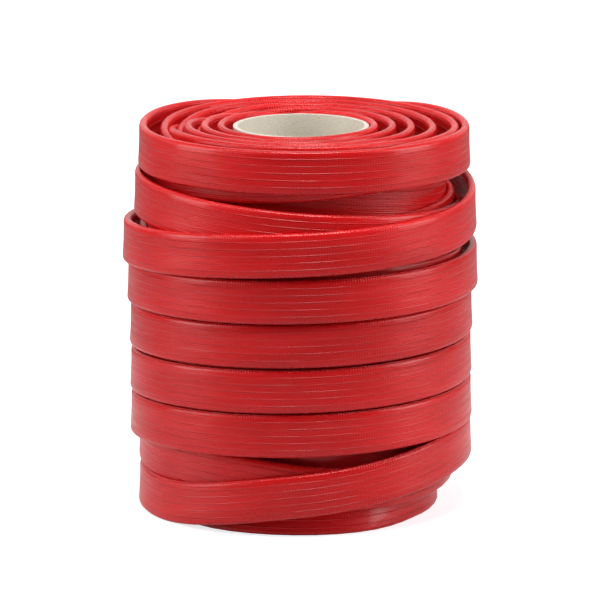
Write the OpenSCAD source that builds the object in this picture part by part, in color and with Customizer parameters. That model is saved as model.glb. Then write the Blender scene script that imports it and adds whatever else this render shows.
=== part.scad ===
// Lay-flat fire hose, wound in layers on a paperboard core.
// Millimetres. +Z runs up the core, and the origin is on its axis in the plane that the roll stands on.
// The hose is one piece. Each layer of it is a node, and so is each ply of its wall at the two cut ends.

/* [Core] */
// Bore of the core, where a spindle goes
core_bore = 76; // [60:1:110]
// Thickness of the smooth paper that lines the bore
liner_wall = 0.4; // [0.3:0.1:0.8]
// Thickness of the wound board
board_wall = 1.8; // [1:0.1:5]
// Thickness of the paper round the outside of the board
wrap_wall = 0.3; // [0.2:0.1:0.6]
// Clearance between the core and the first layer of hose
core_fit = 0.3; // [0.2:0.1:1]

/* [Hose wall] */
// Width of the hose when it lies flat
hose_width = 26; // [20:0.5:34]
// Thickness of the red cover
cover_wall = 0.7; // [0.5:0.1:1.2]
// Thickness of the woven jacket
jacket_wall = 1; // [0.6:0.1:1.6]
// Thickness of the rubber lining
lining_wall = 0.6; // [0.4:0.1:1]
// Opening left between the two halves of the flattened lining
lining_slit = 0.25; // [0.2:0.05:0.8]

/* [Winding] */
// Height of the wound roll and of the core
roll_height = 228; // [180:1:300]
// Layers of hose on the core, an even number, so that the last one comes down
layers = 12; // [4:2:14]
// Radial gap between one layer and the next
layer_gap = 0.3; // [0.1:0.1:1]
// Gap between turns in the layers that go up
rising_gap = 3.1; // [0.6:0.1:6]
// Gap between turns in the layers that come down
falling_gap = 0.8; // [0.4:0.1:4]
// Part of a turn that lies level on each side of a change of direction
level_turn = 0.42; // [0.3:0.01:0.44]
// The same for the outermost layer, and where it starts
outer_level_turn = 0.35; // [0.3:0.01:0.4]
// The same for the last change of direction at the bottom, which is raised
raised_level_turn = 0.04; // [0:0.01:0.1]
// How far the last change of direction at the bottom is above the end of the roll
raised_height = 13; // [0:1:20]

/* [Gaps beside the level rings] */
// Gap beside a level ring that lies inside the roll
ring_gap = 1; // [0.5:0.5:3]
// Gap under an inner top ring, where the hose comes down from it
dip_gap = 7; // [1:1:12]
// Gap under the outer top ring, where the hose comes down from it
recess_gap = 20; // [2:1:24]
// Gap under the outer top ring, where the hose goes up to it
under_gap = 0.3; // [0.2:0.1:6]
// Gap over the raised ring, where the hose comes down to it
raised_fall_gap = 11.5; // [1:0.5:16]
// Gap over the raised ring, where the hose goes up from it
raised_rise_gap = 34; // [10:1:36]

/* [Shape of the outer layers] */
// How far the last two layers bulge where they cross below the top ring
bulge = 3.6; // [0:0.1:4]
// How far the last turn sinks towards the core where nothing is under it, in layers
tuck_layers = 1.25; // [0:0.05:1.5]

/* [Ends and tape] */
// Part of a turn that each cut end takes
end_turn = 0.1; // [0.05:0.01:0.15]
// Part of a turn that the outer end lies level on the bottom
outer_end_level = 0.25; // [0.2:0.01:0.3]
// Width of the strip of tape that holds the outer end to the turn above
tape_width = 19; // [12:0.5:24]
// Thickness of that tape
tape_wall = 0.3; // [0.2:0.05:0.5]
// Length of the tape on each of the two turns
tape_lap = 18; // [10:1:20]
// Gap between the tape and the hose under it
tape_clear = 0.1; // [0.05:0.05:0.2]

/* [Hidden] */
segments = 30;          // flats to a turn of the wound hose
front_angle = -90;      // the top ring of the outermost layer is centred on -Y
step_turn = 0.1;        // a layer steps out over this part of a turn on each side of a change of direction
late_step = [0.23, 0.32];      // the outermost layer steps out between these, once past the turn below it
extra_turn = 0.5;       // part of a turn over which the extra rise or drop beside a ring is taken
short_extra_turn = 0.35;       // the same for the layer that goes up to the outer top ring
bulge_turns = [0.66, 0.82, 0.9, 1.3];    // before the top: where the bulge starts, is full, fades and ends
shoulder_turns = [0.45, 1, 1.2, 3];      // after the top: the same for the outermost layer
tuck_turns = [0.43, 0.25];      // before the end of the outermost layer, where it sinks
side_room = [2, 6];     // turns further apart in height than this aren't side by side, and how it fades
round_fn = 96;

hose_wall = cover_wall + jacket_wall + lining_wall;
hose_thick = 2 * hose_wall + lining_slit;
layer_step = hose_thick + layer_gap;
core_radius = core_bore / 2 + liner_wall + board_wall + wrap_wall;
flat_share = cos(180 / segments);       // a flat's middle is this much nearer the axis than its corners
first_inside = (core_radius + core_fit) / flat_share;
travel = roll_height - hose_width;

function clamp(x) = max(0, min(1, x));
function ease(x) = let (c = clamp(x)) c * c * (3 - 2 * c);
function between(x, limits) = ease((x - limits[0]) / (limits[1] - limits[0]));

// The winding. A layer is numbered from 1 at the core, and a place along it is in turns from its start.
function rising(layer) = layer % 2 == 1;
function pitch(layer) = hose_width + (rising(layer) ? rising_gap : falling_gap);
function low_end(layer) = layer == layers - 1 || layer == layers - 2 ? raised_height : 0;

// Level part at the start and at the end of a layer.
function start_level(layer) =
    layer == layers ? outer_level_turn : layer == layers - 1 ? raised_level_turn : level_turn;
function end_level(layer) =
    layer >= layers - 1 ? outer_level_turn : layer == layers - 2 ? raised_level_turn : level_turn;

// Extra rise or drop beside a ring, which keeps the next turn clear of it by the gap.
function extra(layer, level, gap, step = step_turn) =
    hose_width - (1 - level - step) * pitch(layer) + gap;
function leave_gap(layer) =
    layer == layers ? recess_gap : layer == layers - 1 ? raised_rise_gap
    : rising(layer) ? ring_gap : dip_gap;
function reach_gap(layer) =
    layer == layers - 1 ? under_gap : layer == layers - 2 ? raised_fall_gap : ring_gap;
function leaving(layer) = extra(layer, start_level(layer), leave_gap(layer));
function reaching(layer) =
    extra(layer, end_level(layer), reach_gap(layer), layer == layers - 1 ? late_step[1] : step_turn);
function reach_turn(layer) = layer == layers - 1 ? short_extra_turn : extra_turn;

function plain_travel(layer) = travel - low_end(layer) - leaving(layer) - reaching(layer);
function level_turns(layer) = start_level(layer) + end_level(layer);
function layer_segments(layer) =
    ceil((plain_travel(layer) / pitch(layer) + level_turns(layer)) * segments) - 1;
function layer_turns(layer) = layer_segments(layer) / segments;
function turns_before(layer) = layer <= 1 ? 0 : layer_turns(layer - 1) + turns_before(layer - 1);

// How far a layer has gone from the end of the roll that it left.
function gone(layer, turn) =
    let (run = layer_turns(layer) - level_turns(layer),
         along = max(0, min(run, turn - start_level(layer))))
    plain_travel(layer) / run * along
    + leaving(layer) * ease(along / extra_turn)
    + reaching(layer) * ease(1 - (run - along) / reach_turn(layer));

// Height of the hose's lower edge.
function height_at(layer, turn) =
    rising(layer) ? low_end(layer) + gone(layer, turn) : travel - gone(layer, turn);

// Layers that the hose is short of its own layer after a change of direction, and ahead of it before one.
function short_of(layer, turn) =
    layer == 1 ? 0
    : 1 - between(turn, layer == layers ? late_step : [-step_turn, step_turn]);
function ahead_of(layer, turn) =
    layer >= layers - 1 ? 0 : between(layer_turns(layer) - turn, [step_turn, -step_turn]);

// Places of a lower layer at the angle of a place of the outermost one, and how far they lie side by side.
function places(layer, turn) =
    let (first = round((turns_before(layers) - turns_before(layer) + turn) * segments) % segments / segments)
    [for (place = [first : layer_turns(layer)]) place];
function beside(layer, place, turn) =
    let (apart = abs(height_at(layers, turn) - height_at(layer, place)) - hose_width)
    1 - ease((apart - side_room[0]) / side_room[1]);
function covered(turn) =
    max([for (layer = [layers - 1, layers - 2], place = places(layer, turn)) beside(layer, place, turn)]);

// How far the last two layers stand off the ones below them.
function bulge_at(place) =
    let (left = layer_turns(layers - 1) - place)
    bulge * between(left, [bulge_turns[0], bulge_turns[1]])
        * (1 - between(left, [bulge_turns[2], bulge_turns[3]]));
function shoulder_at(turn) =
    (bulge + layer_gap) * between(turn, [shoulder_turns[0], shoulder_turns[1]])
        * (1 - between(turn, [shoulder_turns[2], shoulder_turns[3]]));
function pushed_out(turn) =
    max([for (place = places(layers - 1, turn)) beside(layers - 1, place, turn) * bulge_at(place)]);
function tucked_in(turn) =
    tuck_layers * layer_step * between(layer_turns(layers) - turn, tuck_turns) * (1 - covered(turn));
function stand_off(layer, turn) =
    layer == layers - 1 ? bulge_at(turn)
    : layer == layers ? max(shoulder_at(turn), pushed_out(turn)) - tucked_in(turn)
    : 0;

// Radius of the middle of the hose's wall.
function radius_at(layer, turn) =
    first_inside + hose_thick / 2
    + layer_step * (layer - 1 - short_of(layer, turn) + ahead_of(layer, turn))
    + stand_off(layer, turn);

// The hose runs clockwise, seen from above.
last_top_turns = turns_before(layers);
function angle_at(layer, turn) = front_angle - 360 * (turns_before(layer) + turn - last_top_turns);

// The outermost layer stops once it has lain level on the bottom, with its cut end after it.
end_segments = round(end_turn * segments);
outer_end_start =
    floor((layer_turns(layers) - end_level(layers) + outer_end_level) * segments) - end_segments;
function first_segment(layer) = layer > 1 ? 0 : end_segments;
function last_segment(layer) = layer < layers ? layer_segments(layer) : outer_end_start;

function section_at(layer, turn) =
    let (r = radius_at(layer, turn), z = height_at(layer, turn), a = angle_at(layer, turn))
    [for (corner = [[-1, 0], [1, 0], [1, 1], [-1, 1]])
        let (out = r + corner[0] * hose_thick / 2)
        [out * cos(a), out * sin(a), z + corner[1] * hose_width]];

module swept(sections) {
    last = len(sections) - 1;
    sides = len(sections[0]);
    polyhedron(
        points = [for (section = sections) each section],
        faces = [
            [for (j = [0 : sides - 1]) j],
            for (i = [0 : last - 1], j = [0 : sides - 1])
                let (k = (j + 1) % sides, a = i * sides, b = a + sides)
                each [[a + k, a + j, b + j], [a + k, b + j, b + k]],
            [for (j = [sides - 1 : -1 : 0]) last * sides + j]
        ]);
}

module hose_layer(layer) {
    color("firebrick")
    swept([for (i = [first_segment(layer) : last_segment(layer)]) section_at(layer, i / segments)]);
}

// A slot shape as wide and thick as the hose with its wall taken off to some depth.
module flat_oval(depth) {
    straight = hose_width - hose_thick;
    square([hose_thick - 2 * depth, straight], center = true);
    for (side = [-1, 1])
        translate([0, side * straight / 2]) circle(d = hose_thick - 2 * depth, $fn = round_fn);
}

// One ply of the wall at a cut end, which lies level in the roll.
module end_ply(layer, start, outside, inside) {
    rotate([0, 0, angle_at(layer, (start + end_segments) / segments)])
    rotate_extrude(angle = 360 * end_segments / segments, $fn = round_fn)
    translate([radius_at(layer, start / segments), height_at(layer, start / segments) + hose_width / 2])
    difference() {
        flat_oval(outside);
        flat_oval(inside);
    }
}

module inner_end_ply(outside, inside) { end_ply(1, 0, outside, inside); }
module outer_end_ply(outside, inside) { end_ply(layers, outer_end_start, outside, inside); }

module inner_end_cover() { color("firebrick") inner_end_ply(0, cover_wall); }
module inner_end_jacket() { color("ivory") inner_end_ply(cover_wall, cover_wall + jacket_wall); }
module inner_end_lining() { color("dimgray") inner_end_ply(cover_wall + jacket_wall, hose_wall); }
module outer_end_cover() { color("firebrick") outer_end_ply(0, cover_wall); }
module outer_end_jacket() { color("ivory") outer_end_ply(cover_wall, cover_wall + jacket_wall); }
module outer_end_lining() { color("dimgray") outer_end_ply(cover_wall + jacket_wall, hose_wall); }

// The tape lies flat on the cut end and on the turn above it, and slants from one to the other.
module end_tape() {
    turn = (outer_end_start + end_segments / 2) / segments;
    end_face = radius_at(layers, outer_end_start / segments) + hose_thick / 2 + tape_clear;
    widest = max([for (step = [-1 : 1]) radius_at(layers, turn - 1 + step / segments)]);
    turn_face = widest + hose_thick / 2 + tape_clear;
    end_top = height_at(layers, outer_end_start / segments) + hose_width;
    turn_bottom = height_at(layers, turn - 1);
    span = 360 * tape_width / (2 * PI * turn_face);
    line = [[end_face, end_top - tape_lap], [end_face, end_top - hose_thick / 2],
        [turn_face, turn_bottom], [turn_face, turn_bottom + tape_lap]];
    color("tan")
    rotate([0, 0, angle_at(layers, turn) - span / 2])
    rotate_extrude(angle = span, $fn = round_fn)
    polygon(concat(line, [for (i = [len(line) - 1 : -1 : 0]) line[i] + [tape_wall, 0]]));
}

module tube(inside, wall) {
    difference() {
        cylinder(r = inside + wall, h = roll_height, $fn = round_fn);
        translate([0, 0, -1]) cylinder(r = inside, h = roll_height + 2, $fn = round_fn);
    }
}

module core_liner() { color("lightgray") tube(core_bore / 2, liner_wall); }
module core_board() { color("tan") tube(core_bore / 2 + liner_wall, board_wall); }
module core_wrap() { color("burlywood") tube(core_radius - wrap_wall, wrap_wall); }

layer_names = [for (i = [1 : layers]) str("hose_layer_", i < 10 ? "0" : "", i)];

core_liner();
core_board();
core_wrap();
for (i = [1 : layers])
    hose_layer(i);
inner_end_cover();
inner_end_jacket();
inner_end_lining();
outer_end_cover();
outer_end_jacket();
outer_end_lining();
end_tape();
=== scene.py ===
"""A lay-flat fire hose, wound in layers on a board core and stood on end. Metres; +Z is up the core."""
from math import cos, sin, pi, radians, ceil, floor

import bpy
import numpy as np
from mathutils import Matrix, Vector


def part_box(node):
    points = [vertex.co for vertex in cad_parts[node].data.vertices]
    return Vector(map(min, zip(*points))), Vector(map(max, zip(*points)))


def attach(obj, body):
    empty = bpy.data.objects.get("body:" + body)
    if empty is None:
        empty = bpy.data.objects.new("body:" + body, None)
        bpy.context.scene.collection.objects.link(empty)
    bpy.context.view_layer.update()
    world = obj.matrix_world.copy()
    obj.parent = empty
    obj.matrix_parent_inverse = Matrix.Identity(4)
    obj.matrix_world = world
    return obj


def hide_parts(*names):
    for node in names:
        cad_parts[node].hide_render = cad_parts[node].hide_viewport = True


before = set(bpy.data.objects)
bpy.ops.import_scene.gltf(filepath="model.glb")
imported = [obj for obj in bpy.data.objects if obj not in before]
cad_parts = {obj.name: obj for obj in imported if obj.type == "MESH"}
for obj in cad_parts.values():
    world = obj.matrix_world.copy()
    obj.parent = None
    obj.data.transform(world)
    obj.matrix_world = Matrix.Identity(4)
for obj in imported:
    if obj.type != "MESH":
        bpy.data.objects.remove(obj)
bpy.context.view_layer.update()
scene = bpy.context.scene
bpy.ops.object.select_all(action="DESELECT")

# ------------------------------------------------------------------ Camera
# A long lens a little over three metres away, which keeps the roll's sides upright. It is tipped down
# far enough to see into the core.
CAMERA_AT = (-0.0006, -3.230, 0.811)
CAMERA_DOWN = 12.05     # degrees

lens = bpy.data.cameras.new("camera")
lens.lens, lens.sensor_width = 330, 36
camera = bpy.data.objects.new("camera", lens)
camera.location = CAMERA_AT
camera.rotation_euler = (radians(90 - CAMERA_DOWN), 0, 0)
scene.collection.objects.link(camera)
scene.camera = camera

# ------------------------------------------------------------------ Hose: how it is wound
# One length of hose, wound clockwise up and down the core in twelve layers. It lies level where it
# changes direction at the top and the bottom, and steps out there to the next layer.
LAYERS = 12
SEGMENTS = 30           # steps to a turn, to which the layers' lengths are rounded
COVER_WALL, JACKET_WALL, LINING_WALL, LINING_SLIT = 0.0007, 0.001, 0.0006, 0.00025
HOSE_WIDTH = 0.026
HOSE_WALL = COVER_WALL + JACKET_WALL + LINING_WALL
HOSE_THICK = 2 * HOSE_WALL + LINING_SLIT
LAYER_GAP = 0.0003
LAYER_STEP = HOSE_THICK + LAYER_GAP
CORE_FIT = 0.0003
RISING_GAP, FALLING_GAP = 0.0031, 0.0008
LEVEL_TURN, OUTER_LEVEL_TURN, RAISED_LEVEL_TURN = 0.42, 0.35, 0.04
RAISED_HEIGHT = 0.013
RING_GAP, DIP_GAP, RECESS_GAP, UNDER_GAP = 0.001, 0.007, 0.020, 0.0003
RAISED_FALL_GAP, RAISED_RISE_GAP = 0.0115, 0.034
BULGE = 0.0036
TUCK_LAYERS = 1.25
END_TURN = 0.1          # part of a turn that each cut end is hollow for
OUTER_END_LEVEL = 0.25
FRONT_ANGLE = -90
STEP_TURN = 0.1
LATE_STEP = (0.23, 0.32)
EXTRA_TURN, SHORT_EXTRA_TURN = 0.5, 0.35
BULGE_TURNS = (0.66, 0.82, 0.9, 1.3)
SHOULDER_TURNS = (0.45, 1, 1.2, 3)
TUCK_TURNS = (0.43, 0.25)
SIDE_ROOM = (0.002, 0.006)

core_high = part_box("core_wrap")[1]
CORE_RADIUS = core_high[0]
ROLL_HEIGHT = core_high[2]
FIRST_INSIDE = (CORE_RADIUS + CORE_FIT) / cos(pi / SEGMENTS)
TRAVEL = ROLL_HEIGHT - HOSE_WIDTH


def ease(x):
    c = min(1, max(0, x))
    return c * c * (3 - 2 * c)


def between(x, start, end):
    return ease((x - start) / (end - start))


def spell(turn, start, full, fade, stop):
    """A smooth rise from 0 to 1 between the first two turns, and back to 0 between the last two."""
    return between(turn, start, full) * (1 - between(turn, fade, stop))


def rising(layer):
    return layer % 2 == 1


def pitch(layer):
    return HOSE_WIDTH + (RISING_GAP if rising(layer) else FALLING_GAP)


def low_end(layer):
    return RAISED_HEIGHT if layer in (LAYERS - 1, LAYERS - 2) else 0


def start_level(layer):
    return {LAYERS: OUTER_LEVEL_TURN, LAYERS - 1: RAISED_LEVEL_TURN}.get(layer, LEVEL_TURN)


def end_level(layer):
    if layer >= LAYERS - 1:
        return OUTER_LEVEL_TURN
    return RAISED_LEVEL_TURN if layer == LAYERS - 2 else LEVEL_TURN


def extra(layer, level, gap, step=STEP_TURN):
    return HOSE_WIDTH - (1 - level - step) * pitch(layer) + gap


def leaving(layer):
    usual = RING_GAP if rising(layer) else DIP_GAP
    gap = {LAYERS: RECESS_GAP, LAYERS - 1: RAISED_RISE_GAP}.get(layer, usual)
    return extra(layer, start_level(layer), gap)


def reaching(layer):
    gap = {LAYERS - 1: UNDER_GAP, LAYERS - 2: RAISED_FALL_GAP}.get(layer, RING_GAP)
    return extra(layer, end_level(layer), gap, LATE_STEP[1] if layer == LAYERS - 1 else STEP_TURN)


def plain_travel(layer):
    return TRAVEL - low_end(layer) - leaving(layer) - reaching(layer)


def level_turns(layer):
    return start_level(layer) + end_level(layer)


def layer_turns(layer):
    turns = plain_travel(layer) / pitch(layer) + level_turns(layer)
    return (ceil(round(turns * SEGMENTS, 6)) - 1) / SEGMENTS


TURNS = {layer: layer_turns(layer) for layer in range(1, LAYERS + 1)}
TURNS_BEFORE = {layer: sum(TURNS[k] for k in range(1, layer)) for layer in range(1, LAYERS + 1)}


def height_at(layer, turn):
    """Height of the hose's lower edge."""
    run = TURNS[layer] - level_turns(layer)
    along = max(0, min(run, turn - start_level(layer)))
    reach_turn = SHORT_EXTRA_TURN if layer == LAYERS - 1 else EXTRA_TURN
    gone = (plain_travel(layer) / run * along + leaving(layer) * ease(along / EXTRA_TURN)
            + reaching(layer) * ease(1 - (run - along) / reach_turn))
    return low_end(layer) + gone if rising(layer) else TRAVEL - gone


def places(layer, turn):
    """Places of a lower layer at the same angle as a place of the outermost one."""
    first = (TURNS_BEFORE[LAYERS] - TURNS_BEFORE[layer] + turn) % 1
    return np.arange(first, TURNS[layer], 1)


def beside(layer, place, turn):
    apart = abs(height_at(LAYERS, turn) - height_at(layer, place)) - HOSE_WIDTH
    return 1 - ease((apart - SIDE_ROOM[0]) / SIDE_ROOM[1])


def bulge_at(place):
    return BULGE * spell(TURNS[LAYERS - 1] - place, *BULGE_TURNS)


def stand_off(layer, turn):
    """How far the last two layers stand off the ones below them."""
    if layer == LAYERS - 1:
        return bulge_at(turn)
    if layer < LAYERS:
        return 0
    shoulder = (BULGE + LAYER_GAP) * spell(turn, *SHOULDER_TURNS)
    pushed_out = max(beside(LAYERS - 1, p, turn) * bulge_at(p) for p in places(LAYERS - 1, turn))
    covered = max(beside(k, p, turn) for k in (LAYERS - 1, LAYERS - 2) for p in places(k, turn))
    tucked_in = TUCK_LAYERS * LAYER_STEP * between(TURNS[LAYERS] - turn, *TUCK_TURNS) * (1 - covered)
    return max(shoulder, pushed_out) - tucked_in


def radius_at(layer, turn):
    """Radius of the middle of the hose's wall."""
    short, ahead = 0, 0
    if layer > 1:
        short = 1 - between(turn, *(LATE_STEP if layer == LAYERS else (-STEP_TURN, STEP_TURN)))
    if layer < LAYERS - 1:
        ahead = between(TURNS[layer] - turn, STEP_TURN, -STEP_TURN)
    layers_out = layer - 1 - short + ahead
    return FIRST_INSIDE + HOSE_THICK / 2 + LAYER_STEP * layers_out + stand_off(layer, turn)


# The hose's whole way is worked out in small steps, and its corners are rounded by averaging over a
# short stretch, because the flattened hose is too stiff to turn sharply.
FINE = 120              # steps to a turn
ROUNDING = 4            # steps averaged on each side
outer_end = floor(round((TURNS[LAYERS] - end_level(LAYERS) + OUTER_END_LEVEL) * SEGMENTS, 6))
HOSE_TURNS = TURNS_BEFORE[LAYERS] + outer_end / SEGMENTS

fine_turns = np.arange(0, HOSE_TURNS + 0.5 / FINE, 1 / FINE)
layer_of = np.searchsorted(list(TURNS_BEFORE.values()), fine_turns + 1e-9, side="right")
way = [(k, turn - TURNS_BEFORE[k]) for k, turn in zip(layer_of.tolist(), fine_turns.tolist())]
fine_radii = np.array([radius_at(k, turn) for k, turn in way])
fine_heights = np.array([height_at(k, turn) for k, turn in way])


def rounded(values):
    padded = np.pad(values, ROUNDING, mode="edge")
    return np.convolve(padded, np.ones(2 * ROUNDING + 1) / (2 * ROUNDING + 1), mode="valid")


fine_radii, fine_heights = rounded(fine_radii), rounded(fine_heights)


# The roll isn't quite true. The top rings stand a little above the core and highest at the back, and
# the outer ones lie over to +X. The turn that goes up to the outermost ring rides up beside it at -X.
RING_SHIFT, RING_RISE, BACK_RISE = 0.004, 0.0018, 0.0026
TOP_ZONE = (ROLL_HEIGHT - 1.5 * HOSE_WIDTH, ROLL_HEIGHT - 0.6 * HOSE_WIDTH)
RIDE_UP, RIDE_UP_AT, RIDE_UP_SPAN = 0.0046, TURNS_BEFORE[LAYERS] - 0.80, 0.34

# The outermost layer lies a little tipped, higher at -X and at the front, and it sags and rides up in
# places: each of these is a turn from its start and how far the hose is above its even way there.
TIP_LEFT, TIP_FRONT, TIP_ALL = 0.0017, 0.0013, 0.0013
TIPPED_TURNS = (1, 1.3, 5.2, 5.6)
LIE = ((0.35, 0), (0.8, 0.0045), (1.0, 0.004), (1.25, -0.0018), (1.6, 0), (5.3, 0), (5.8, 0.003),
       (6.0, -0.001), (6.13, -0.0045), (6.25, 0))

# The layer below it starts up slowly from the raised ring at the bottom, and the lowest ring of all
# is splayed out at the front by the weight on it.
SLOW_START, SLOW_TURNS = 0.0195, (0.12, 0.38, 0.45, 0.9)
SPLAY, SPLAY_ANGLE, SPLAY_SPAN = 0.009, -97, 62
SPLAY_HEIGHT = 0.004    # a turn this far up isn't splayed
SPLAY_TURNS = (0.45, 0.6)
SPLAY_CURVE = 1.3

# The last inner ring at the top sinks a little where the outer one has nothing under it, and the end of
# the hose is drawn in by its tape.
INNER_SINK, SINK_TURNS = 0.008, (0.15, 0.4, 0.55, 0.95)
DRAWN_IN, DRAWN_TURNS = 0.003, (6, 6.25)


def line_at(turn):
    """Middle of the flattened hose at a turn from its inner end, and its angle round the core."""
    radius = np.interp(turn, fine_turns, fine_radii)
    height = np.interp(turn, fine_turns, fine_heights) + HOSE_WIDTH / 2
    angle = radians(FRONT_ANGLE) - 2 * pi * (turn - TURNS_BEFORE[LAYERS])
    at_top = between(height, *TOP_ZONE)
    outer = (radius - CORE_RADIUS) / (fine_radii.max() - CORE_RADIUS)
    height += at_top * (RING_RISE + BACK_RISE * max(0, sin(angle)) * outer)
    height += RIDE_UP * ease(1 - abs(turn - RIDE_UP_AT) / RIDE_UP_SPAN)
    into_last = turn - TURNS_BEFORE[LAYERS]
    tip = TIP_ALL - TIP_LEFT * cos(angle) - TIP_FRONT * sin(angle)
    height += tip * spell(into_last, *TIPPED_TURNS)
    for (start, low), (stop, high) in zip(LIE, LIE[1:]):
        if start <= into_last < stop:
            height += low + (high - low) * between(into_last, start, stop)
    height -= SLOW_START * spell(turn - TURNS_BEFORE[LAYERS - 1], *SLOW_TURNS)
    height -= INNER_SINK * spell(turn - TURNS_BEFORE[LAYERS - 2], *SINK_TURNS)
    radius -= DRAWN_IN * between(into_last, *DRAWN_TURNS)
    shifted = radius * cos(angle) + at_top * RING_SHIFT * outer
    return np.array([shifted, radius * sin(angle), height]), angle


# ------------------------------------------------------------------ Hose: its cover
# The flattened hose is a slot shape with two round folds, a little thicker at the folds than between
# them. It is one continuous sweep, and at each cut end the cover turns in round the jacket.
FOLD_STEPS = 6          # flats to a fold
FACE_STEPS = 4          # flats across a face
HOLLOW = 0.00018        # how far each face sinks between the folds
OUT_RINGS = {LAYERS: 118, LAYERS - 1: 86}      # rings to a turn where the hose is seen from the side
IN_RINGS = 46           # rings to a turn in the other layers
TILT = 0.00045          # lower edge out and upper edge in by this much, as turns lap in the outer layers
INNER_TILT = 0.35       # share of that tilt in the other layers
SWELLS = ((0.00012, 4.1, 0), (0.00008, 11.3, 0.6))  # waves outwards: size, speed and start
DRIFTS = ((0.00016, 2.3, 1), (0.00012, 5.9, 2))     # waves upwards
LEAST_HEIGHT = 0.00002


def section(inset=0.0):
    """Outline round the hose, as radial and axial offsets, from the middle of its inner face."""
    half = HOSE_WIDTH / 2 - HOSE_THICK / 2
    fold = HOSE_THICK / 2 - inset
    steps = [half * (2 * i / FACE_STEPS - 1) for i in range(1, FACE_STEPS)]
    middle = FACE_STEPS // 2 - 1
    face = [(-fold, z) for z in steps[middle:]]
    bend = [pi * i / FOLD_STEPS for i in range(FOLD_STEPS + 1)]
    top = [(-fold * cos(turned), half + fold * sin(turned)) for turned in bend]
    side = [(fold, z) for z in reversed(steps)]
    low = [(-x, -z) for x, z in top]
    back = [(-fold, z) for z in steps[:middle]]
    points = np.array(face + top + side + low + back)
    sink = HOLLOW * np.clip(1 - (points[:, 1] / half) ** 2, 0, 1)
    points[:, 0] -= np.sign(points[:, 0]) * sink
    return points


def waves(terms, turn):
    return sum(size * sin(speed * turn + start) for size, speed, start in terms)


def ring_at(turn, outline):
    """The outline set square to the core's axis at a turn of the hose."""
    middle, angle = line_at(turn)
    outer = between(turn, TURNS_BEFORE[LAYERS - 1], TURNS_BEFORE[LAYERS - 1] + 1)
    lean = TILT * (INNER_TILT + (1 - INNER_TILT) * outer)
    out = outline[:, 0] + waves(SWELLS, turn) - lean * outline[:, 1] / (HOSE_WIDTH / 2)
    lowest = 1 - between(middle[2], HOSE_WIDTH / 2, HOSE_WIDTH / 2 + SPLAY_HEIGHT)
    bottom_ring = 1 - between(abs(turn - TURNS_BEFORE[LAYERS - 3]), *SPLAY_TURNS)
    towards = between(cos(angle - radians(SPLAY_ANGLE)), cos(radians(SPLAY_SPAN)), 1)
    lower = np.clip(0.5 - outline[:, 1] / HOSE_WIDTH, 0, 1) ** SPLAY_CURVE
    out = out + SPLAY * lowest * bottom_ring * towards * lower
    up = np.maximum(middle[2] + waves(DRIFTS, turn) + outline[:, 1], LEAST_HEIGHT)
    return np.stack([middle[0] + out * cos(angle), middle[1] + out * sin(angle), up], axis=1)


def skin(name, rings, along, looped=False):
    """A tube through the rings, with a UV map in metres along and round it."""
    rings = np.array(rings)
    count, sides = rings.shape[:2]
    mesh = bpy.data.meshes.new(name)
    i = np.arange(count if looped else count - 1)[:, None]
    j = np.arange(sides)[None, :]
    i_next, j_next = (i + 1) % count, (j + 1) % sides
    row, row_next = i * sides, i_next * sides
    quads = np.stack([row + j, row + j_next, row_next + j_next, row_next + j], axis=2)
    faces = quads.reshape(-1, 4).tolist()
    if not looped:
        faces += [list(range(sides))[::-1], list(range((count - 1) * sides, count * sides))]
    mesh.from_pydata(rings.reshape(-1, 3).tolist(), [], faces)
    step = np.linalg.norm(np.diff(np.vstack([rings[0], rings[0][:1]]), axis=0), axis=1)
    around = np.concatenate([[0], np.cumsum(step)]) - step.sum() / 2
    along = np.append(along, along[-1])
    corners = [(i, j), (i, j + 1), (i + 1, j + 1), (i + 1, j)]
    u = np.stack([along[row] + 0 * column for row, column in corners], axis=2)
    v = np.stack([around[column] + 0 * row for row, column in corners], axis=2)
    uv = np.stack([u, v], axis=3).reshape(-1, 2)
    caps = np.zeros((len(mesh.loops) - len(uv), 2))
    mesh.uv_layers.new(name="length").data.foreach_set("uv", np.vstack([uv, caps]).ravel())
    mesh.polygons.foreach_set("use_smooth", [True] * len(mesh.polygons))
    mesh.update()
    piece = bpy.data.objects.new(name, mesh)
    scene.collection.objects.link(piece)
    return piece


def outward(piece):
    """Turn the faces outwards."""
    bpy.ops.object.select_all(action="DESELECT")
    piece.select_set(True)
    bpy.context.view_layer.objects.active = piece
    bpy.ops.object.mode_set(mode="EDIT")
    bpy.ops.mesh.select_all(action="SELECT")
    bpy.ops.mesh.normals_make_consistent(inside=False)
    bpy.ops.object.mode_set(mode="OBJECT")
    piece.select_set(False)


fine_line = np.array([line_at(turn)[0] for turn in fine_turns])
fine_lengths = np.concatenate([[0], np.cumsum(np.linalg.norm(np.diff(fine_line, axis=0), axis=1))])


def length_at(turns):
    """Distance along the hose's middle line to each turn."""
    return np.interp(turns, fine_turns, fine_lengths)


hose_turns = []
for layer in range(1, LAYERS + 1):
    stop = TURNS_BEFORE[layer] + TURNS[layer] if layer < LAYERS else HOSE_TURNS
    count = round((stop - TURNS_BEFORE[layer]) * OUT_RINGS.get(layer, IN_RINGS))
    hose_turns += np.linspace(TURNS_BEFORE[layer], stop, count, endpoint=layer == LAYERS).tolist()

cut_turns = np.linspace(0, END_TURN, 6)
outside, inside = section(), section(COVER_WALL)
rings = ([ring_at(t, inside) for t in cut_turns[::-1]] + [ring_at(t, outside) for t in hose_turns]
         + [ring_at(HOSE_TURNS - t, inside) for t in cut_turns])
ring_turns = np.concatenate([cut_turns[::-1], hose_turns, HOSE_TURNS - cut_turns])
hose = skin("hose", rings, length_at(ring_turns))
outward(hose)

path = [ring_at(turn, outside).mean(axis=0) for turn in hose_turns]

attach(hose, "hose_roll")
layer_nodes = [f"hose_layer_{layer:02d}" for layer in range(1, LAYERS + 1)]
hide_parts(*layer_nodes, "inner_end_cover", "outer_end_cover")


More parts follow.
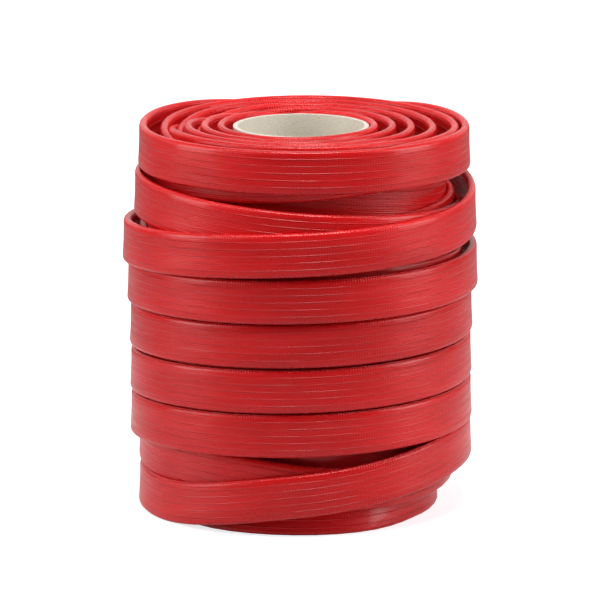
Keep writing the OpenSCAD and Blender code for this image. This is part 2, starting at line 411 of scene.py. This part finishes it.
class Nodes:
    """A material's or a group's node tree, with short ways to add and join nodes."""

    def __init__(self, tree):
        self.tree = tree

    def add(self, kind, **settings):
        node = self.tree.nodes.new(kind)
        for key, value in settings.items():
            setattr(node, key, value)
        return node

    def put(self, socket, value):
        if isinstance(value, bpy.types.NodeSocket):
            self.tree.links.new(value, socket)
        else:
            socket.default_value = value

    def math(self, operation, a, b=0.0, c=0.0):
        node = self.add("ShaderNodeMath", operation=operation)
        for socket, value in zip(node.inputs, (a, b, c)):
            self.put(socket, value)
        return node.outputs[0]

    def wave(self, operation, value, length):
        """A sine or a cosine of this wavelength, from 0 to 1."""
        turned = self.math("MULTIPLY", value, 2 * pi / length)
        return self.math("MULTIPLY_ADD", self.math(operation, turned), 0.5, 0.5)

    def ramp(self, value, low, high, to_low=0.0, to_high=1.0):
        node = self.add("ShaderNodeMapRange", interpolation_type="SMOOTHSTEP")
        for socket, item in zip(node.inputs, (value, low, high, to_low, to_high)):
            self.put(socket, item)
        return node.outputs[0]

    def mix(self, share, a, b, blend="MIX"):
        node = self.add("ShaderNodeMix", data_type="RGBA", blend_type=blend)
        for socket, value in ((node.inputs[0], share), (node.inputs[6], a), (node.inputs[7], b)):
            self.put(socket, value)
        return node.outputs[2]

    def noise(self, vector, scale, detail=2.0, roughness=0.5):
        node = self.add("ShaderNodeTexNoise")
        for key, value in (("Vector", vector), ("Scale", scale), ("Detail", detail),
                           ("Roughness", roughness)):
            self.put(node.inputs[key], value)
        return node.outputs[0]

    def patches(self, along, around, per_metre, detail):
        """Noise over the hose's surface, with so many patches to a metre along it and round it."""
        spot = self.vector(*(self.math("MULTIPLY", a, b) for a, b in zip((along, around), per_metre)))
        return self.noise(spot, 1.0, detail)

    def vector(self, x, y, z=0.0):
        node = self.add("ShaderNodeCombineXYZ")
        for socket, value in zip(node.inputs, (x, y, z)):
            self.put(socket, value)
        return node.outputs[0]

    def split(self, vector):
        node = self.add("ShaderNodeSeparateXYZ")
        self.put(node.inputs[0], vector)
        return node.outputs

    def bump(self, height, strength, distance):
        node = self.add("ShaderNodeBump")
        for key, value in (("Height", height), ("Strength", strength), ("Distance", distance)):
            self.put(node.inputs[key], value)
        return node.outputs[0]


def material(name):
    """A new material with an empty Principled shader, and its node tree."""
    item = bpy.data.materials.new(name)
    item.use_nodes = True
    return item, Nodes(item.node_tree), item.node_tree.nodes["Principled BSDF"].inputs


# The cover is smooth red elastomer over a woven jacket: fine ribs across it where the weft lies, and
# ridges along it where the warp yarns are thicker. The ribs show most where the folds stretch them.
RIB, RIDGE, FINE_RIDGE = 0.0016, 0.0042, 0.00105
FOLD_AT = HOSE_WIDTH / 2 - HOSE_THICK / 2 + pi * HOSE_THICK / 4     # from a face's middle, round the fold
RIB_ON_FOLD, RIB_ON_FACE, FINE_SHARE, CLOUD_SHARE = 0.4, 0.22, 0.16, 0.3    # heights beside a ridge's
RELIEF = 0.00045

cover_finish, n, shader = material("red_cover")
along, around, _ = n.split(n.add("ShaderNodeUVMap", uv_map="length").outputs[0])
ribs = n.wave("SINE", along, RIB)
ridges = n.math("POWER", n.wave("COSINE", around, RIDGE), 14.0)
fine_ridges = n.wave("COSINE", around, FINE_RIDGE)
rubbed = n.patches(along, around, (30, 400), 3.0)
clouds = n.patches(along, around, (12, 60), 4.0)
from_fold = n.math("ABSOLUTE", n.math("SUBTRACT", n.math("ABSOLUTE", around), FOLD_AT))
on_fold = n.ramp(from_fold, 0.0045, 0.0015)
rib_on_face = n.math("MULTIPLY", n.ramp(rubbed, 0.4, 0.6), RIB_ON_FACE)
height = n.math("MULTIPLY", ribs, n.math("MULTIPLY_ADD", on_fold, RIB_ON_FOLD, rib_on_face))
height = n.math("MULTIPLY_ADD", ridges, n.ramp(rubbed, 0.3, 0.7, 0.35, 1.0), height)
height = n.math("MULTIPLY_ADD", fine_ridges, FINE_SHARE, height)
height = n.math("MULTIPLY_ADD", clouds, CLOUD_SHARE, height)
tone = n.mix(n.ramp(clouds, 0.35, 0.65), (0.58, 0.004, 0.005, 1), (0.68, 0.007, 0.009, 1))
# Painted highlight: the ridges along the hose are painted a little lighter and pinker in the base colour,
# standing in for the light they catch.
tone = n.mix(n.math("MULTIPLY", ridges, 0.09), tone, (0.80, 0.10, 0.10, 1))
n.put(shader["Base Color"], tone)
gloss = n.ramp(rubbed, 0.3, 0.7, 0.28, 0.38)
n.put(shader["Roughness"], n.math("MULTIPLY_ADD", on_fold, -0.08, gloss))
shader["Coat Weight"].default_value = 0.24
shader["Coat Roughness"].default_value = 0.16
shader["Specular IOR Level"].default_value = 0.22
n.put(shader["Normal"], n.bump(height, 1.0, RELIEF))
hose.data.materials.append(cover_finish)

# ------------------------------------------------------------------ Hose: its plies at the cut ends
# Inside the cover are a jacket woven of white polyester yarn and a thin black rubber lining, which is
# pressed flat. At each end the knife has left the jacket's yarns a little proud.
FRAY = 0.0009           # how far the yarns stand out of the cut
PLY_FIT = 0.00002       # gap between one ply and the next
WARP_YARN, WEFT_YARN = 0.0009, 0.0011


def end_ply(name, outer_inset, inner_inset, proud, at_start):
    """One ply of the wall at a cut end, as a hollow sleeve inside the cover's turned-in edge."""
    radius = float(np.hypot(*line_at(0.0 if at_start else HOSE_TURNS)[0][:2]))
    past = proud / (2 * pi * radius)
    depths = np.linspace(-past, END_TURN, 9)
    turns = depths if at_start else HOSE_TURNS - depths
    outer, inner = section(outer_inset + PLY_FIT), section(inner_inset - PLY_FIT)
    rings = [ring_at(t, outer) for t in turns] + [ring_at(t, inner) for t in turns[::-1]]
    marks = np.concatenate([turns, turns[::-1]]) * 2 * pi * radius
    piece = skin(name, rings, marks, looped=True)
    outward(piece)
    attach(piece, "hose_roll")
    return piece


jacket_finish, n, shader = material("jacket_yarn")
along, around, _ = n.split(n.add("ShaderNodeUVMap", uv_map="length").outputs[0])
warp = n.math("SINE", n.math("MULTIPLY", around, 2 * pi / WARP_YARN))
weft = n.math("SINE", n.math("MULTIPLY", along, 2 * pi / WEFT_YARN))
weave = n.math("MULTIPLY_ADD", n.math("MULTIPLY", warp, weft), 0.5, 0.5)
fluff = n.patches(along, around, (2600, 2600), 3.0)
n.put(shader["Base Color"], n.mix(weave, (0.52, 0.48, 0.40, 1), (0.85, 0.82, 0.74, 1)))
n.put(shader["Roughness"], n.ramp(fluff, 0.2, 0.8, 0.75, 0.95))
n.put(shader["Normal"], n.bump(n.math("ADD", weave, fluff), 0.6, 0.0002))

lining_finish, n, shader = material("lining_rubber")
along, around, _ = n.split(n.add("ShaderNodeUVMap", uv_map="length").outputs[0])
grain = n.patches(along, around, (900, 1400), 4.0)
n.put(shader["Base Color"], n.mix(grain, (0.03, 0.03, 0.032, 1), (0.07, 0.068, 0.066, 1)))
n.put(shader["Roughness"], n.ramp(grain, 0.3, 0.7, 0.45, 0.6))
n.put(shader["Normal"], n.bump(grain, 0.25, 0.0001))

for end, at_start in (("inner_end", True), ("outer_end", False)):
    jacket = end_ply(f"{end}_jacket_ply", COVER_WALL, COVER_WALL + JACKET_WALL, FRAY, at_start)
    jacket.data.materials.append(jacket_finish)
    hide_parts(f"{end}_jacket")
    lining = end_ply(f"{end}_lining_ply", COVER_WALL + JACKET_WALL, HOSE_WALL, 0.0, at_start)
    lining.data.materials.append(lining_finish)
    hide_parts(f"{end}_lining")

# ------------------------------------------------------------------ Tape
# A short strip of buff packing tape holds the outer end of the hose to the turn above it. The strip
# comes with the frame, and here it gets its creased, slightly glossy paper.
tape_finish, n, shader = material("buff_tape")
spot = n.add("ShaderNodeTexCoord").outputs["Object"]
creases = n.noise(spot, 260.0, 5.0, 0.6)
n.put(shader["Base Color"], n.mix(creases, (0.60, 0.44, 0.27, 1), (0.74, 0.60, 0.42, 1)))
n.put(shader["Roughness"], n.ramp(creases, 0.3, 0.7, 0.28, 0.45))
n.put(shader["Normal"], n.bump(creases, 0.35, 0.0003))

# ------------------------------------------------------------------ Core
# A tube of spirally wound greyboard, with a smooth paper lining its bore and another round its
# outside. Its ends are sawn square, which leaves a pale fuzzy rim.
fibre_group = bpy.data.node_groups.new("paper_fibre", "ShaderNodeTree")
for name in ("Scale", "Contrast"):
    fibre_group.interface.new_socket(name, in_out="INPUT", socket_type="NodeSocketFloat")
for name in ("Fibre", "Fleck"):
    fibre_group.interface.new_socket(name, in_out="OUTPUT", socket_type="NodeSocketFloat")
g = Nodes(fibre_group)
given, result = g.add("NodeGroupInput"), g.add("NodeGroupOutput")
spot = g.add("ShaderNodeTexCoord").outputs["Object"]
x, y, z = g.split(spot)
turned = g.vector(g.math("MULTIPLY", g.math("ARCTAN2", y, x), 0.04), g.math("MULTIPLY", z, 3.0), 0.0)
fibre = g.noise(turned, given.outputs["Scale"], 5.0, 0.65)
low = g.math("MULTIPLY_ADD", given.outputs["Contrast"], -0.5, 0.5)
high = g.math("MULTIPLY_ADD", given.outputs["Contrast"], 0.5, 0.5)
g.put(result.inputs["Fibre"], g.ramp(fibre, low, high))
g.put(result.inputs["Fleck"], g.ramp(g.noise(spot, 700.0, 2.0), 0.62, 0.74))

SEAM_PITCH = 0.11       # rise of the paper's spiral seam in one turn


def paper(name, dark, light, fleck_tone, roughness, seam):
    """A paper or board finish with fibres, flecks and, where asked, the spiral seam of its strip."""
    finish, n, shader = material(name)
    fibres = n.add("ShaderNodeGroup", node_tree=fibre_group)
    fibres.inputs["Scale"].default_value = 420.0
    fibres.inputs["Contrast"].default_value = 0.4
    tone = n.mix(fibres.outputs["Fibre"], dark, light)
    tone = n.mix(n.math("MULTIPLY", fibres.outputs["Fleck"], 0.35), tone, fleck_tone)
    height = fibres.outputs["Fibre"]
    if seam:
        x, y, z = n.split(n.add("ShaderNodeTexCoord").outputs["Object"])
        turned = n.math("DIVIDE", n.math("ARCTAN2", y, x), 2 * pi)
        climb = n.math("SUBTRACT", n.math("DIVIDE", z, SEAM_PITCH), turned)
        off = n.math("ABSOLUTE", n.math("SUBTRACT", n.math("FRACT", climb), 0.5))
        line = n.ramp(off, 0.004, 0.0015)
        tone = n.mix(n.math("MULTIPLY", line, 0.45), tone, dark)
        height = n.math("MULTIPLY_ADD", line, -2.5, height)
    n.put(shader["Base Color"], tone)
    shader["Roughness"].default_value = roughness
    shader["Specular IOR Level"].default_value = 0.25
    n.put(shader["Normal"], n.bump(height, 0.35, 0.00015))
    return finish


node_finishes = {
    "core_liner": paper("liner_paper", (0.70, 0.64, 0.53, 1), (0.84, 0.78, 0.67, 1),
                        (0.30, 0.22, 0.15, 1), 0.6, True),
    "core_board": paper("cut_board", (0.50, 0.46, 0.40, 1), (0.66, 0.62, 0.55, 1),
                        (0.45, 0.38, 0.30, 1), 0.9, False),
    "core_wrap": paper("wrap_paper", (0.62, 0.56, 0.48, 1), (0.76, 0.71, 0.63, 1),
                       (0.45, 0.36, 0.26, 1), 0.7, True),
    "end_tape": tape_finish,
}
for node, finish in node_finishes.items():
    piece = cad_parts[node]
    piece.data.materials.clear()
    piece.data.materials.append(finish)

# ------------------------------------------------------------------ Floor, lights and world
# A white table and backdrop, a tall soft box at each side of the roll, and a soft light above its
# front. The room is dark except for the backdrop straight behind the roll.
FLOOR_AT = -0.0001      # just under the roll's lower end
PAINTED_SHADOW_GLOW, WHITE = 0.76, 0.92      # the table's glow beside the roll's foot, dimmed there as a painted contact shadow, and away from it
MIRRORED = 0.3          # glow that the hose mirrors near the roll

bpy.ops.mesh.primitive_plane_add(size=40, location=(0, 0, FLOOR_AT))
floor_piece = bpy.context.object
floor_piece.name = "floor"
floor_finish, n, shader = material("white_table")
grain = n.noise(n.add("ShaderNodeTexCoord").outputs["Object"], 90.0, 3.0)
n.put(shader["Base Color"], n.mix(grain, (0.50, 0.50, 0.51, 1), (0.53, 0.53, 0.54, 1)))
shader["Roughness"].default_value = 0.6
shader["Specular IOR Level"].default_value = 0.2
shader["Emission Color"].default_value = (0.98, 0.98, 1, 1)
x, y, _ = n.split(n.add("ShaderNodeTexCoord").outputs["Object"])
away = n.math("SQRT", n.math("ADD", n.math("MULTIPLY", x, x), n.math("MULTIPLY", y, y)))
path = n.add("ShaderNodeLightPath").outputs
# Painted shadow: the glow the camera sees is dimmed in a narrow ring round the roll's foot.
seen = n.math("MULTIPLY", path["Is Camera Ray"], n.ramp(away, 0.100, 0.118, PAINTED_SHADOW_GLOW, WHITE))
mirrored = n.math("MULTIPLY", path["Is Glossy Ray"], n.ramp(away, 0.30, 0.45, MIRRORED, 0.0))
n.put(shader["Emission Strength"], n.math("ADD", seen, mirrored))
floor_piece.data.materials.append(floor_finish)

LIT_AT = (0, 0, 0.11)   # what the lights face
LIGHTS = [      # name, place, width, height, watts
    ("soft_left", (-1.5, -0.28, 0.72), 0.9, 1.2, 16.5),
    ("soft_right", (1.5, -0.28, 0.72), 0.9, 1.2, 17.5),
    ("soft_top", (0.03, -0.31, 1.45), 0.6, 0.7, 19),
]
for name, place, width, height_of, watts in LIGHTS:
    data = bpy.data.lights.new(name, "AREA")
    data.shape, data.size, data.size_y, data.energy = "RECTANGLE", width, height_of, watts
    light = bpy.data.objects.new(name, data)
    light.location = place
    aim = Vector(LIT_AT) - Vector(place)
    light.rotation_euler = aim.to_track_quat("-Z", "Y").to_euler()
    scene.collection.objects.link(light)

world = bpy.data.worlds.new("studio")
world.use_nodes = True
scene.world = world
w = Nodes(world.node_tree)
sky = world.node_tree.nodes["Background"]
backwards = w.split(w.add("ShaderNodeTexCoord").outputs["Generated"])[1]
room = w.ramp(backwards, 0.4, 0.98, 0.06, 0.9)
seen = w.add("ShaderNodeLightPath").outputs["Is Camera Ray"]
w.put(sky.inputs["Strength"], w.math("MAXIMUM", seen, room))
sky.inputs["Color"].default_value = (0.98, 0.99, 1.0, 1)
scene.view_settings.view_transform = "Standard"
